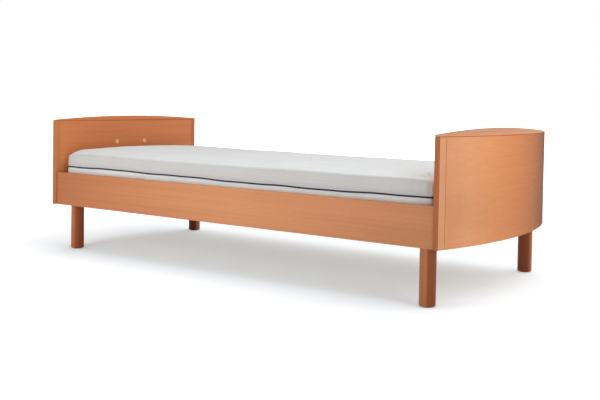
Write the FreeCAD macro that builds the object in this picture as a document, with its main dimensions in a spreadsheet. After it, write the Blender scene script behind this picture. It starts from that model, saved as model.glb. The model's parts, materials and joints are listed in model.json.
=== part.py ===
import FreeCAD, Part
import Sketcher
import math
import operator
import os
from collections import namedtuple
from types import SimpleNamespace

# A beech bed with bowed end boards and a slatted base whose back and foot sections tilt by hand.
# X runs along the bed with the foot at +X, the near side is at -Y, and Z is up from the floor.

SIZES = {
    # overall frame
    "clear_length": 2060,
    "bed_width": 996,
    "board_base": 216,
    "board_height": 405,
    "fit_gap": 0.4,
    # end boards
    "post_depth": 22,
    "post_outer": 30,
    "post_inner": 28,
    "post_round": 2,
    "bow_rise": 77,
    "shell_thick": 8,
    "seam_gap": 2,
    "panel_thick": 11,
    "panel_recess": 0.6,
    "rib_thick": 18,
    "rib_spacing": 220,
    "bottom_recess": 2,
    # caps
    "cap_end": 9,
    "cap_crown": 17,
    "cap_slope": 8,
    "cap_groove": 1,
    "cap_round": 1.5,
    "cap_inset": 3,
    # headboard pegs
    "peg_radius": 11,
    "peg_proud": 3.5,
    "peg_spread": 196,
    "peg_height": 512,
    "peg_stem_radius": 4,
    "peg_stem": 7,
    # side rails
    "rail_height": 157,
    "rail_thick": 18,
    "rail_recess": 7,
    "rail_gap": 2.6,
    "rail_round": 2,
    # legs
    "leg_radius": 31,
    "head_leg_from_board": 75,
    "head_leg_from_side": 76,
    "foot_leg_from_board": 39,
    "foot_leg_from_side": 44,
    "leg_round": 4,
    "glide_radius": 20,
    "glide_thick": 3,
    "plate_radius": 18,
    "plate_thick": 2,
    "bolt_radius": 5,
    "bolt_length": 60,
    # corner blocks, ledges and brackets
    "block_length": 100,
    "block_width": 90,
    "block_height": 42,
    "ledge_width": 30,
    "ledge_height": 25,
    "bracket_leg": 42,
    "bracket_height": 56,
    "bracket_thick": 3,
    "bracket_screw_in": 25,
    "screw_radius": 2,
    "screw_head_radius": 4,
    "screw_head": 2.2,
    "screw_bite": 8,
    # base frame of the slatted base
    "base_head_end": -1000,
    "base_foot_end": 1016,
    "beam_width": 25,
    "beam_height": 49,
    "beam_from_rail": 6,
    "member_width": 25,
    "member_height": 15,
    # tilting sections
    "hinge_height": 295,
    "back_hinge": -225,
    "foot_hinge": 175,
    "back_end": -970,
    "foot_end": 985,
    "bar_width": 24,
    "bar_height": 28,
    "bar_gap": 4,
    "first_crossbar": 36,
    "pin_radius": 5,
    "pin_clearance": 0.06,
    "pin_bite": 17.5,
    "bush_wall": 2.5,
    # slats and their holders
    "slat_width": 38,
    "slat_thick": 8.5,
    "slat_from_hinge": 45,
    "slat_from_end": 20,
    "slat_bite": 19,
    "holder_width": 46,
    "holder_height": 15.5,
    "holder_floor": 5,
    # props and racks
    "back_prop_length": 300,
    "foot_prop_length": 280,
    "arm_height": 18,
    "arm_thick": 5,
    "arm_gap": 3,
    "prop_pin_radius": 4,
    "prop_bar_radius": 5,
    "rack_from_arm": 8,
    "rack_thick": 8,
    "rack_margin": 36,
    "notch_width": 12,
    "notch_depth": 6,
    # mattress
    "mattress_head": -1001,
    "mattress_foot": 999,
    "mattress_width": 904,
    "mattress_base": 325,
    "mattress_top": 476,
    "mattress_corner": 35,
    "mattress_gap": 1,
    # travel of the two sections, degrees
    "back_tilt": 50,
    "foot_tilt": 25,
}

SIDES = {"near": -1, "far": 1}
ENDS = {"head": -1, "foot": 1}
ALONG = {
    "X": FreeCAD.Rotation(FreeCAD.Vector(0, 1, 0), 90),
    "Y": FreeCAD.Rotation(FreeCAD.Vector(1, 0, 0), -90),
    "Z": FreeCAD.Rotation(),
}
OPERATIONS = {"+": operator.add, "-": operator.sub, "*": operator.mul, "/": operator.truediv}
CAP_ROLLER_LENGTH = 800
SEAT_SLATS = 6


class Size:
    """A length with the sheet formula that it comes from, so that what is worked out stays bound."""

    def __init__(self, value, formula):
        self.value = value
        self.formula = formula

    def __add__(self, other):
        return combined(self, "+", other)

    def __radd__(self, other):
        return combined(other, "+", self)

    def __sub__(self, other):
        return combined(self, "-", other)

    def __rsub__(self, other):
        return combined(other, "-", self)

    def __mul__(self, other):
        return combined(self, "*", other)

    def __rmul__(self, other):
        return combined(other, "*", self)

    def __truediv__(self, other):
        return combined(self, "/", other)

    def __neg__(self):
        return combined(0, "-", self)


def as_size(number):
    """A plain number as a Size."""
    return number if isinstance(number, Size) else Size(number, f"{number:.6f}")


def combined(left, sign, right):
    """Two sizes joined by an arithmetic sign."""
    one, two = as_size(left), as_size(right)
    value = OPERATIONS[sign](one.value, two.value)
    return Size(value, f"({one.formula} {sign} {two.formula})")


def turned(function, angle):
    """The sine, cosine or tangent of an angle in degrees."""
    value = getattr(math, function)(math.radians(as_size(angle).value))
    return Size(value, f"{function}({as_size(angle).formula} * 1 deg)")


doc = FreeCAD.newDocument("adjustable_bed")
nodes = []


def make_sheet():
    """The sheet of driving dimensions, and a namespace with each of them as a Size."""
    sheet = doc.addObject("Spreadsheet::Sheet", "Sizes")
    for row, (alias, number) in enumerate(SIZES.items(), start=1):
        sheet.set(f"A{row}", alias)
        sheet.set(f"B{row}", str(number))
        sheet.setAlias(f"B{row}", alias)
    doc.recompute()
    return SimpleNamespace(**{a: Size(n, f"Sizes.{a}") for a, n in SIZES.items()})


d = make_sheet()


# ---------------------------------------------------------------- building blocks


def bind(thing, **sizes):
    """Ties properties of a document object to the sheet."""
    for name, size in sizes.items():
        thing.setExpression(name, as_size(size).formula)
    return thing


def place(thing, x, y, z):
    """Puts an object's own origin at a point."""
    for axis, size in zip("xyz", (x, y, z)):
        thing.setExpression(f"Placement.Base.{axis}", as_size(size).formula)
    return thing


def box(name, centre, size):
    """A block given by its centre and its three sides."""
    block = bind(doc.addObject("Part::Box", name), Length=size[0], Width=size[1], Height=size[2])
    return place(block, *[c - as_size(s) / 2 for c, s in zip(centre, size)])


def rod(name, radius, length, centre, along):
    """A round bar centred on a point."""
    bar = bind(doc.addObject("Part::Cylinder", name), Radius=radius, Height=length)
    bar.Placement = FreeCAD.Placement(FreeCAD.Vector(), ALONG[along])
    start = [c - as_size(length) / 2 if axis == along else c for axis, c in zip("XYZ", centre)]
    return place(bar, *start)


def fuse(name, parts):
    """Several solids joined into one."""
    joined = doc.addObject("Part::MultiFuse", name)
    joined.Shapes = parts
    return joined


def cut(name, base, tools):
    """A solid with other solids taken out of it."""
    piece = doc.addObject("Part::Cut", name)
    piece.Base = base
    piece.Tool = tools[0] if len(tools) == 1 else fuse(f"{name}_tools", tools)
    return piece


def common(name, parts):
    """What several solids share."""
    shared = doc.addObject("Part::MultiCommon", name)
    shared.Shapes = parts
    return shared


def group(name, parts):
    """Identical separate solids kept as one node."""
    kept = doc.addObject("Part::Compound", name)
    kept.Links = parts
    return kept


def node(name, thing):
    """Names a finished sub-part and lists it for export."""
    thing.Label = name
    nodes.append(thing)
    return thing


def soften(name, base, radius, wanted):
    """Rounds those edges of a solid that the test picks out."""
    doc.recompute()
    rounded = doc.addObject("Part::Fillet", name)
    rounded.Base = base
    picked = [i for i, edge in enumerate(base.Shape.Edges, start=1) if wanted(edge)]
    rounded.Edges = [(i, radius.value, radius.value) for i in picked]
    return rounded


def runs(edge, axis):
    """Whether an edge is straight and parallel to a row axis."""
    if not isinstance(edge.Curve, Part.Line):
        return False
    return abs(getattr(edge.tangentAt(edge.FirstParameter), axis)) > 0.999


def new_sketch(body, name, role):
    """An empty sketch on one of a body's own origin planes."""
    plane = next(f for f in body.Origin.OriginFeatures if f.Role == role)
    sketch = body.newObject("Sketcher::SketchObject", name)
    sketch.AttachmentSupport = [(plane, "")]
    sketch.MapMode = "FlatFace"
    return sketch


def hold(sketch, kind, geometry, point, size):
    """Fixes one coordinate of a sketch point and ties it to the sheet."""
    at = as_size(size)
    index = sketch.addConstraint(Sketcher.Constraint(kind, -1, 1, geometry, point, at.value))
    sketch.setExpression(f"Constraints[{index}]", at.formula)


def outline(sketch, points):
    """A closed outline of straight edges whose corners are tied to the sheet."""
    corners = [FreeCAD.Vector(as_size(x).value, as_size(y).value, 0) for x, y in points]
    count = len(corners)
    for i, corner in enumerate(corners):
        sketch.addGeometry(Part.LineSegment(corner, corners[(i + 1) % count]))
    for i in range(count):
        sketch.addConstraint(Sketcher.Constraint("Coincident", i, 2, (i + 1) % count, 1))
    for i, (x, y) in enumerate(points):
        hold(sketch, "DistanceX", i, 1, x)
        hold(sketch, "DistanceY", i, 1, y)


def prism(name, role, points, length):
    """A body padded both ways from an outline on one of its origin planes."""
    body = doc.addObject("PartDesign::Body", name)
    sketch = new_sketch(body, f"{name}_outline", role)
    outline(sketch, points)
    pad = body.newObject("PartDesign::Pad", f"{name}_pad")
    pad.Profile = sketch
    pad.Midplane = True
    bind(pad, Length=length)
    return body


Fixing = namedtuple("Fixing", "name at along way length")


def moved(at, along, amount):
    """A point moved along one row axis."""
    return tuple(c + amount if axis == along else c for axis, c in zip("XYZ", at))


def shank(fixing, use, clearance):
    """The round shank of a screw, or with a clearance the hole for it."""
    centre = moved(fixing.at, fixing.along, fixing.way * fixing.length / 2)
    name = f"{fixing.name}_{use}"
    return rod(name, d.screw_radius + clearance, fixing.length + clearance, centre, fixing.along)


def screw(fixing):
    """A pan head screw whose head stands on the surface point of its fixing."""
    centre = moved(fixing.at, fixing.along, -fixing.way * d.screw_head / 2)
    head = rod(f"{fixing.name}_head", d.screw_head_radius, d.screw_head, centre, fixing.along)
    return fuse(fixing.name, [head, shank(fixing, "shank", 0)])


# ---------------------------------------------------------------- where the screws go

half_clear = d.clear_length / 2
half_width = d.bed_width / 2
rail_outside = half_width - d.rail_recess
rail_inside = rail_outside - d.rail_thick
block_base = d.board_base + d.plate_thick
block_top = block_base + d.block_height
ledge_base = block_top - d.ledge_height
bracket_base = block_top + d.bracket_thick
bracket_screw = d.bracket_thick + d.screw_bite


def ledge_fixings(side_name):
    """Screws through a ledge into its rail."""
    side = SIDES[side_name]
    reach = half_clear - d.block_length
    at_y = side * (rail_inside - d.ledge_width)
    at_z = ledge_base + d.ledge_height / 2
    length = d.ledge_width + d.screw_bite
    steps = (-5, -3, -1, 1, 3, 5)
    points = [(step / 6 * reach, at_y, at_z) for step in steps]
    return [Fixing(f"ledge_screw_{side_name}_{i}", at, "Y", side, length) for i, at in enumerate(points)]


def bracket_heights():
    """The two heights of the screws in a corner bracket."""
    quarter = d.bracket_height / 4
    return [bracket_base + quarter, bracket_base + 3 * quarter]


def rail_fixings(end_name, side_name):
    """Screws through a corner bracket into the rail."""
    end, side = ENDS[end_name], SIDES[side_name]
    at_x = end * (half_clear - d.bracket_screw_in)
    at_y = side * (rail_inside - d.bracket_thick)
    name = f"rail_screw_{end_name}_{side_name}"
    points = [(at_x, at_y, z) for z in bracket_heights()]
    return [Fixing(f"{name}_{i}", at, "Y", side, bracket_screw) for i, at in enumerate(points)]


def board_fixings(end_name, side_name):
    """Screws through a corner bracket into the end board."""
    end, side = ENDS[end_name], SIDES[side_name]
    at_x = end * (half_clear - d.bracket_thick)
    at_y = side * (rail_inside - d.bracket_screw_in)
    name = f"board_screw_{end_name}_{side_name}"
    points = [(at_x, at_y, z) for z in bracket_heights()]
    return [Fixing(f"{name}_{i}", at, "X", end, bracket_screw) for i, at in enumerate(points)]


# ---------------------------------------------------------------- end boards

board_mid = d.board_base + d.board_height / 2
board_top = d.board_base + d.board_height
strip_face = half_clear + d.post_depth
bow_face = strip_face + d.bow_rise
half_chord = half_width - d.post_outer
bow_radius = half_width * half_width / (2 * d.bow_rise) + d.bow_rise / 2
panel_back = half_clear + d.panel_recess + d.panel_thick


def bow(name, end, inset, base, height):
    """A tall round solid whose side is the bowed face of one end board, moved in by an inset."""
    drum = rod(name, bow_radius - inset, height, (0, 0, base + height / 2), "Z")
    return place(drum, end * (bow_face - bow_radius), 0, base)


def beyond(name, end, start, half_wide, base, height):
    """A block from a distance along X outwards, past the bow."""
    centre = (end * (start + d.bow_rise), 0, base + height / 2)
    return box(name, centre, (2 * d.bow_rise, 2 * half_wide, height))


def make_post(end_name, end, side_name, side):
    """An upright edge strip whose outer face carries on the bow, rebated on the inside for the panel."""
    name = f"{end_name}_post_{side_name}"
    centre = (end * (half_clear + d.post_depth), side * (half_width - d.post_outer / 2), board_mid)
    square = box(f"{name}_square", centre, (2 * d.post_depth, d.post_outer, d.board_height))
    block = common(f"{name}_block", [square, bow(f"{name}_bow", end, 0, d.board_base, d.board_height)])
    depth = d.panel_recess + d.panel_thick + d.fit_gap
    overlap = d.post_outer - d.post_inner + d.fit_gap
    at = (end * (half_clear + depth / 2), side * (half_chord + overlap / 2), board_mid)
    rebate = box(f"{name}_rebate", at, (depth, overlap, d.board_height))
    rebated = cut(f"{name}_rebated", block, [rebate])
    edge_y = side * half_width.value
    outer = lambda edge: runs(edge, "z") and abs(edge.CenterOfMass.y - edge_y) < 0.1
    node(name, soften(name, rebated, d.post_round, outer))


def make_panel(end_name, end):
    """The flat inner panel between the two posts."""
    name = f"{end_name}_panel"
    centre = (end * (panel_back - d.panel_thick / 2), 0, board_mid)
    size = (d.panel_thick, 2 * (half_width - d.post_inner), d.board_height)
    panel = box(f"{name}_sheet", centre, size)
    holes = [shank(f, "panel_hole", d.fit_gap / 2) for s in SIDES for f in board_fixings(end_name, s)]
    holes += peg_stems(f"{name}_bore", d.fit_gap) if end_name == "head" else []
    node(name, cut(name, panel, holes))


def make_shell(end_name, end):
    """The bowed outer face, a curved sheet between the posts."""
    name = f"{end_name}_shell"
    outer = bow(f"{name}_outer", end, 0, d.board_base, d.board_height)
    inner = bow(f"{name}_inner", end, d.shell_thick, d.board_base, d.board_height)
    start = panel_back + d.fit_gap
    window = beyond(f"{name}_window", end, start, half_chord - d.seam_gap, d.board_base, d.board_height)
    node(name, common(name, [cut(f"{name}_tube", outer, [inner]), window]))


def make_ribs(end_name, end):
    """Three upright ribs that hold the bowed sheet off the panel."""
    name = f"{end_name}_ribs"
    base = d.board_base + d.bottom_recess + d.rib_thick
    height = board_top - base
    ribs = []
    for place_number, offset in enumerate((-1, 0, 1)):
        part = f"{name}_{place_number}"
        centre = (end * (panel_back + d.bow_rise), offset * d.rib_spacing, base + height / 2)
        slab = box(f"{part}_slab", centre, (2 * d.bow_rise, d.rib_thick, height))
        ribs.append(common(part, [slab, bow(f"{part}_bow", end, d.shell_thick + d.fit_gap, base, height)]))
    node(name, group(name, ribs))


def make_bottom(end_name, end):
    """The board that closes the hollow between panel and bowed sheet from below."""
    name = f"{end_name}_bottom_board"
    base = d.board_base + d.bottom_recess
    filled = bow(f"{name}_bow", end, d.shell_thick + d.fit_gap, base, d.rib_thick)
    start = panel_back
    window = beyond(f"{name}_window", end, start, half_chord - d.post_inner, base, d.rib_thick)
    node(name, common(name, [filled, window]))


def cap_plan(name, end, inset, base, height):
    """The plan of a cap, posts and bow together, moved in by an inset."""
    window = beyond(f"{name}_window", end, half_clear + inset, half_width - inset, base, height)
    return common(name, [bow(f"{name}_bow", end, inset, base, height), window])


def make_cap(end_name, end):
    """The cap: crowned along Y, falling to the bowed side, over a fine shadow groove."""
    name = f"{end_name}_cap"
    rise = d.cap_end + d.cap_crown
    base = board_top + d.cap_groove
    block = cap_plan(f"{name}_plan", end, 0, base, 2 * rise)
    crown_radius = half_width * half_width / (2 * d.cap_crown) + d.cap_crown / 2
    drop = crown_radius * turned("cos", d.cap_slope)
    lean = crown_radius * turned("sin", d.cap_slope)
    roller = doc.addObject("Part::Cylinder", f"{name}_roller")
    bind(roller, Radius=crown_radius, Height=CAP_ROLLER_LENGTH)
    tilt = FreeCAD.Rotation(FreeCAD.Vector(0, 1, 0), 90 + end * SIZES["cap_slope"])
    roller.Placement = FreeCAD.Placement(FreeCAD.Vector(), tilt)
    reach = CAP_ROLLER_LENGTH / 2 * turned("cos", d.cap_slope)
    fall = CAP_ROLLER_LENGTH / 2 * turned("sin", d.cap_slope)
    top = board_top + rise
    place(roller, end * (half_clear - lean) - reach, 0, top - drop + end * fall)
    crowned = common(f"{name}_crowned", [block, roller])
    top_edge = lambda edge: edge.BoundBox.ZMin > base.value + d.cap_round.value
    rounded = soften(f"{name}_rounded", crowned, d.cap_round, top_edge)
    spline = cap_plan(f"{name}_tongue", end, d.cap_inset, board_top, d.cap_groove)
    node(name, fuse(name, [rounded, spline]))


def peg_stems(name, clearance):
    """The two round stems that the pegs sit in the headboard by."""
    centre_x = -(half_clear + d.panel_recess + d.peg_stem / 2)
    stems = []
    for side_name, side in SIDES.items():
        centre = (centre_x, side * d.peg_spread / 2, d.peg_height)
        stems.append(rod(f"{name}_{side_name}", d.peg_stem_radius + clearance, d.peg_stem, centre, "X"))
    return stems


def make_pegs():
    """Two round plugs on the inner face of the headboard."""
    thick = d.peg_proud
    pegs = []
    for stem, (side_name, side) in zip(peg_stems("peg_stem", 0), SIDES.items()):
        centre = (thick / 2 - half_clear - d.panel_recess, side * d.peg_spread / 2, d.peg_height)
        head = rod(f"peg_head_{side_name}", d.peg_radius, thick, centre, "X")
        front = thick.value - half_clear.value - d.panel_recess.value
        rim = lambda edge: isinstance(edge.Curve, Part.Circle) and abs(edge.CenterOfMass.x - front) < 0.1
        rounded = soften(f"peg_rounded_{side_name}", head, d.peg_proud / 3, rim)
        pegs.append(fuse(f"peg_{side_name}", [rounded, stem]))
    node("headboard_pegs", group("headboard_pegs", pegs))


# ---------------------------------------------------------------- rails, corners and legs

leg_x = {"head": half_clear - d.head_leg_from_board, "foot": half_clear - d.foot_leg_from_board}
leg_y = {"head": half_width - d.head_leg_from_side, "foot": half_width - d.foot_leg_from_side}


def make_rail(side_name, side):
    """A side rail, set back a little from the posts' sides and a shadow gap short of them at each end."""
    name = f"side_rail_{side_name}"
    low = d.board_base
    high = d.board_base + d.rail_height
    reach = half_clear - d.rail_gap
    profile = [(-reach, low), (reach, low), (reach, high), (-reach, high)]
    body = prism(f"{name}_board", "XZ_Plane", profile, d.rail_thick)
    place(body, 0, side * (rail_outside - d.rail_thick / 2), 0)
    rounded = soften(f"{name}_rounded", body, d.rail_round, lambda edge: runs(edge, "x"))
    fixings = ledge_fixings(side_name)
    for end_name in ENDS:
        fixings += rail_fixings(end_name, side_name)
    node(name, cut(name, rounded, [shank(f, "rail_hole", d.fit_gap / 2) for f in fixings]))


def make_ledges():
    """The batten along each rail that the slatted base rests on."""
    ledges = []
    for side_name, side in SIDES.items():
        centre = (0, side * (rail_inside - d.ledge_width / 2), ledge_base + d.ledge_height / 2)
        length = 2 * (half_clear - d.block_length) - 2 * d.fit_gap
        batten = box(f"ledge_batten_{side_name}", centre, (length, d.ledge_width, d.ledge_height))
        holes = [shank(f, "ledge_hole", d.fit_gap / 2) for f in ledge_fixings(side_name)]
        ledges.append(cut(f"ledge_{side_name}", batten, holes))
    node("ledges", group("ledges", ledges))


def make_corner_blocks():
    """The four solid blocks that the legs screw into."""
    blocks = []
    for end_name, end in ENDS.items():
        for side_name, side in SIDES.items():
            name = f"corner_block_{end_name}_{side_name}"
            at_x = end * (half_clear - d.block_length / 2)
            at_y = side * (rail_inside - d.block_width / 2)
            centre = (at_x, at_y, block_base + d.block_height / 2)
            block = box(f"{name}_solid", centre, (d.block_length, d.block_width, d.block_height))
            bore_centre = (end * leg_x[end_name], side * leg_y[end_name], block_base + d.bolt_length / 4)
            depth = d.bolt_length / 2 + d.fit_gap
            bore = rod(f"{name}_bore", d.bolt_radius + d.fit_gap / 2, depth, bore_centre, "Z")
            blocks.append(cut(name, block, [bore]))
    node("corner_blocks", group("corner_blocks", blocks))


def make_brackets():
    """Steel angles that join each rail to its board."""
    brackets = []
    middle = bracket_base + d.bracket_height / 2
    for end_name, end in ENDS.items():
        for side_name, side in SIDES.items():
            name = f"corner_bracket_{end_name}_{side_name}"
            x_in, y_in = half_clear - d.bracket_leg / 2, rail_inside - d.bracket_leg / 2
            x_out, y_out = half_clear - d.bracket_thick / 2, rail_inside - d.bracket_thick / 2
            on_rail = (end * x_in, side * y_out, middle)
            on_board = (end * x_out, side * y_in, middle)
            leg, thick, height = d.bracket_leg, d.bracket_thick, d.bracket_height
            rail_leg = box(f"{name}_rail_leg", on_rail, (leg, thick, height))
            board_leg = box(f"{name}_board_leg", on_board, (thick, leg, height))
            angle = fuse(f"{name}_angle", [rail_leg, board_leg])
            fixings = rail_fixings(end_name, side_name) + board_fixings(end_name, side_name)
            holes = [shank(f, "bracket_hole", d.fit_gap / 2) for f in fixings]
            brackets.append(cut(name, angle, holes))
    node("corner_brackets", group("corner_brackets", brackets))


def make_screws():
    """All wood screws of the frame, by what they hold."""
    ledge = [screw(f) for side_name in SIDES for f in ledge_fixings(side_name)]
    node("ledge_screws", group("ledge_screws", ledge))
    pairs = [(e, s) for e in ENDS for s in SIDES]
    corner = [screw(f) for e, s in pairs for f in rail_fixings(e, s) + board_fixings(e, s)]
    node("bracket_screws", group("bracket_screws", corner))


def make_leg(end_name, end, side_name, side):
    """A turned round leg with a softly rounded foot, bored for its hanger bolt."""
    name = f"leg_{end_name}_{side_name}"
    low, high = d.glide_thick, d.board_base
    bore, bore_low = d.bolt_radius + d.fit_gap / 2, d.board_base - d.bolt_length / 2 - d.fit_gap
    outside = [(0, low), (d.leg_radius, low), (d.leg_radius, high)]
    inside = [(bore, high), (bore, bore_low), (0, bore_low)]
    body = doc.addObject("PartDesign::Body", f"{name}_turned")
    sketch = new_sketch(body, f"{name}_profile", "XZ_Plane")
    outline(sketch, outside + inside)
    turning = body.newObject("PartDesign::Revolution", f"{name}_revolution")
    turning.Profile = sketch
    turning.ReferenceAxis = (sketch, ["V_Axis"])
    turning.Angle = 360
    place(body, end * leg_x[end_name], side * leg_y[end_name], 0)
    rim = lambda edge: isinstance(edge.Curve, Part.Circle) and edge.CenterOfMass.z < low.value + 0.1
    node(name, soften(name, body, d.leg_round, rim))


def make_leg_fittings():
    """Plate, hanger bolt and glide of every leg."""
    plates, bolts, glides = [], [], []
    plate_z = d.board_base + d.plate_thick / 2
    for end_name, end in ENDS.items():
        for side_name, side in SIDES.items():
            corner = f"{end_name}_{side_name}"
            at_x, at_y = end * leg_x[end_name], side * leg_y[end_name]
            at_plate = (at_x, at_y, plate_z)
            at_glide = (at_x, at_y, d.glide_thick / 2)
            disc = rod(f"plate_disc_{corner}", d.plate_radius, d.plate_thick, at_plate, "Z")
            hole = rod(f"plate_hole_{corner}", d.bolt_radius + d.fit_gap / 2, d.plate_thick, at_plate, "Z")
            plates.append(cut(f"plate_{corner}", disc, [hole]))
            bolts.append(rod(f"bolt_{corner}", d.bolt_radius, d.bolt_length, at_plate, "Z"))
            glides.append(rod(f"glide_{corner}", d.glide_radius, d.glide_thick, at_glide, "Z"))
    node("leg_plates", group("leg_plates", plates))
    node("leg_bolts", group("leg_bolts", bolts))
    node("leg_glides", group("leg_glides", glides))


# ---------------------------------------------------------------- fixed frame of the slatted base

beam_outside = rail_inside - d.beam_from_rail
beam_inside = beam_outside - d.beam_width
beam_base = block_top
beam_top = beam_base + d.beam_height
bar_outside = beam_inside - d.bar_gap
bar_inside = bar_outside - d.bar_width
bar_top = d.hinge_height + d.bar_height / 2
arm_outside = bar_inside - d.arm_gap
arm_inside = arm_outside - d.arm_thick
rack_outside = arm_inside - d.rack_from_arm
rack_base = beam_base + d.member_height
rack_top = d.hinge_height - d.prop_bar_radius - d.fit_gap
pin_length = d.bar_width + d.bar_gap + d.pin_bite
SECTIONS = {
    "back": SimpleNamespace(
        way=-1, hinge=d.back_hinge, end=d.back_end, prop=d.back_prop_length, tilt=d.back_tilt,
        notches=(10, 20, 30, 40, 50), slats=12,
    ),
    "foot": SimpleNamespace(
        way=1, hinge=d.foot_hinge, end=d.foot_end, prop=d.foot_prop_length, tilt=d.foot_tilt,
        notches=(15, 20, 25), slats=13,
    ),
}


def pin_rod(name, section, side, radius, clearance):
    """The hinge pin of one side of a section, or with a clearance its bore."""
    middle = side * (bar_inside + pin_length / 2)
    return rod(name, radius + clearance, pin_length, (section.hinge, middle, d.hinge_height), "Y")


def make_beam(side_name, side):
    """A long beam of the base frame, bored for both hinge pins."""
    name = f"base_beam_{side_name}"
    length = d.base_foot_end - d.base_head_end
    middle = (d.base_foot_end + d.base_head_end) / 2
    centre = (middle, side * (beam_inside + d.beam_width / 2), beam_base + d.beam_height / 2)
    beam = box(f"{name}_solid", centre, (length, d.beam_width, d.beam_height))
    bores = [
        pin_rod(f"{name}_{section_name}_bore", section, side, d.pin_radius, d.pin_clearance)
        for section_name, section in SECTIONS.items()
    ]
    rounded = soften(f"{name}_rounded", beam, d.rail_round, lambda edge: runs(edge, "x"))
    node(name, cut(name, rounded, bores))


def crosswise(name, x, low, height, width, half_length):
    """A bar across the bed, centred on its middle line."""
    return box(name, (x, 0, low + height / 2), (width, 2 * half_length, height))


def make_cross_members():
    """The end bars of the base frame and the flat members that carry the racks."""
    width = d.member_width
    head_x, foot_x = d.base_head_end + width / 2, d.base_foot_end - width / 2
    ends = [
        crosswise("end_bar_head", head_x, beam_base, d.beam_height, width, beam_inside),
        crosswise("end_bar_foot", foot_x, beam_base, d.beam_height, width, beam_inside),
    ]
    node("base_end_bars", group("base_end_bars", ends))
    places = [d.back_hinge + width, d.foot_hinge - width]
    for section in SECTIONS.values():
        near, far = rack_ends(section)
        places += [near, far]
    members = [
        crosswise(f"member_{i}", x, beam_base, d.member_height, width, beam_inside)
        for i, x in enumerate(places)
    ]
    node("base_cross_members", group("base_cross_members", members))


def bar_place(section, angle):
    """Where the prop bar of a section lies along X at a tilt angle."""
    return section.hinge + section.way * 2 * section.prop * turned("cos", angle)


def rack_ends(section):
    """The two ends of a section's racks, the one nearer to the hinge first."""
    margin = section.way * d.rack_margin
    return bar_place(section, section.tilt) - margin, bar_place(section, 0) + margin


def make_racks(section_name, section):
    """Two toothed steel racks. A notch has an upright wall away from the hinge and a ramp towards it."""
    near, far = rack_ends(section)
    points = [(near, rack_base), (near, rack_top)]
    for angle in reversed(section.notches):
        x = bar_place(section, angle)
        half = d.notch_width / 2
        ramp = x - section.way * (half + d.notch_depth / 2)
        floor = rack_top - d.notch_depth
        points.append((ramp, rack_top))
        points.append((x - section.way * half, floor))
        points.append((x + section.way * half, floor))
        points.append((x + section.way * half, rack_top))
    points += [(far, rack_top), (far, rack_base)]
    racks = []
    for side_name, side in SIDES.items():
        body = prism(f"{section_name}_rack_{side_name}", "XZ_Plane", points, d.rack_thick)
        racks.append(place(body, 0, side * (rack_outside - d.rack_thick / 2), 0))
    node(f"{section_name}_racks", group(f"{section_name}_racks", racks))


# ---------------------------------------------------------------- slats and holders


def slat_row(name, first, last, count, half_length):
    """A row of equal sprung slats with rounded long edges."""
    low = holder_base + d.holder_floor
    half = d.slat_width / 2
    nose = d.slat_thick / 4
    profile = [
        (first - half, low + nose), (first - half + nose, low), (first + half - nose, low),
        (first + half, low + nose), (first + half, low + 3 * nose), (first + half - nose, low + 4 * nose),
        (first - half + nose, low + 4 * nose), (first - half, low + 3 * nose),
    ]
    body = prism(name, "XZ_Plane", profile, 2 * half_length)
    repeat(body, last - first, count)
    return body


def repeat(body, length, count):
    """Repeats a body's padded solid along X."""
    pattern = body.newObject("PartDesign::LinearPattern", f"{body.Name}_row")
    pattern.Originals = [body.Tip]
    axis = next(f for f in body.Origin.OriginFeatures if f.Role == "X_Axis")
    pattern.Direction = (axis, [""])
    pattern.Reversed = length.value < 0
    pattern.Occurrences = count
    bind(pattern, Length=length if length.value > 0 else 0 - length)
    body.Tip = pattern


holder_base = bar_top


def holder_row(name, first, last, count, outside, side):
    """A row of moulded shoes, each with a pocket that is open inwards for the end of a slat."""
    wall = d.bar_width - d.slat_bite
    low, high = holder_base, holder_base + d.holder_height
    slot_low = holder_base + d.holder_floor - d.fit_gap / 2
    slot_high = slot_low + d.slat_thick + d.fit_gap
    inner, outer = side * (outside - d.bar_width), side * outside
    pocket = side * (outside - wall)
    profile = [
        (inner, low), (outer, low), (outer, high), (inner, high),
        (inner, slot_high), (pocket, slot_high), (pocket, slot_low), (inner, slot_low),
    ]
    body = prism(name, "YZ_Plane", profile, d.holder_width)
    place(body, first, 0, 0)
    repeat(body, last - first, count)
    return body


def make_slats(name, first, last, count, outside):
    """The slats of one section and the shoes that hold them."""
    reach = outside - d.bar_width + d.slat_bite - d.fit_gap
    node(f"{name}_slats", slat_row(f"{name}_slats", first, last, count, reach))
    rows = [
        holder_row(f"{name}_holders_{side_name}", first, last, count, outside, side)
        for side_name, side in SIDES.items()
    ]
    node(f"{name}_slat_holders", group(f"{name}_slat_holders", rows))


# ---------------------------------------------------------------- tilting sections


def make_section_bar(section_name, section, side_name, side):
    """A side bar of a tilting section, round about its hinge, bored for the bush and the prop pin."""
    name = f"{section_name}_bar_{side_name}"
    y = side * (bar_inside + d.bar_width / 2)
    length = section.way * (section.end - section.hinge)
    centre = ((section.end + section.hinge) / 2, y, d.hinge_height)
    straight = box(f"{name}_straight", centre, (length, d.bar_width, d.bar_height))
    hinge_point = (section.hinge, y, d.hinge_height)
    eye = rod(f"{name}_eye", d.bar_height / 2, d.bar_width, hinge_point, "Y")
    bush_hole = rod(f"{name}_bush_hole", bush_radius + d.fit_gap / 4, d.bar_width, hinge_point, "Y")
    prop_point = (prop_pivot(section), y, d.hinge_height)
    prop_hole = rod(f"{name}_prop_hole", d.prop_pin_radius + d.fit_gap / 4, d.bar_width, prop_point, "Y")
    blank = fuse(f"{name}_blank", [straight, eye])
    node(name, cut(name, blank, [bush_hole, prop_hole]))


def prop_pivot(section):
    """The place along X of the pivot between a section and its prop."""
    return section.hinge + section.way * section.prop


bush_radius = d.pin_radius + d.pin_clearance + d.bush_wall


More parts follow.
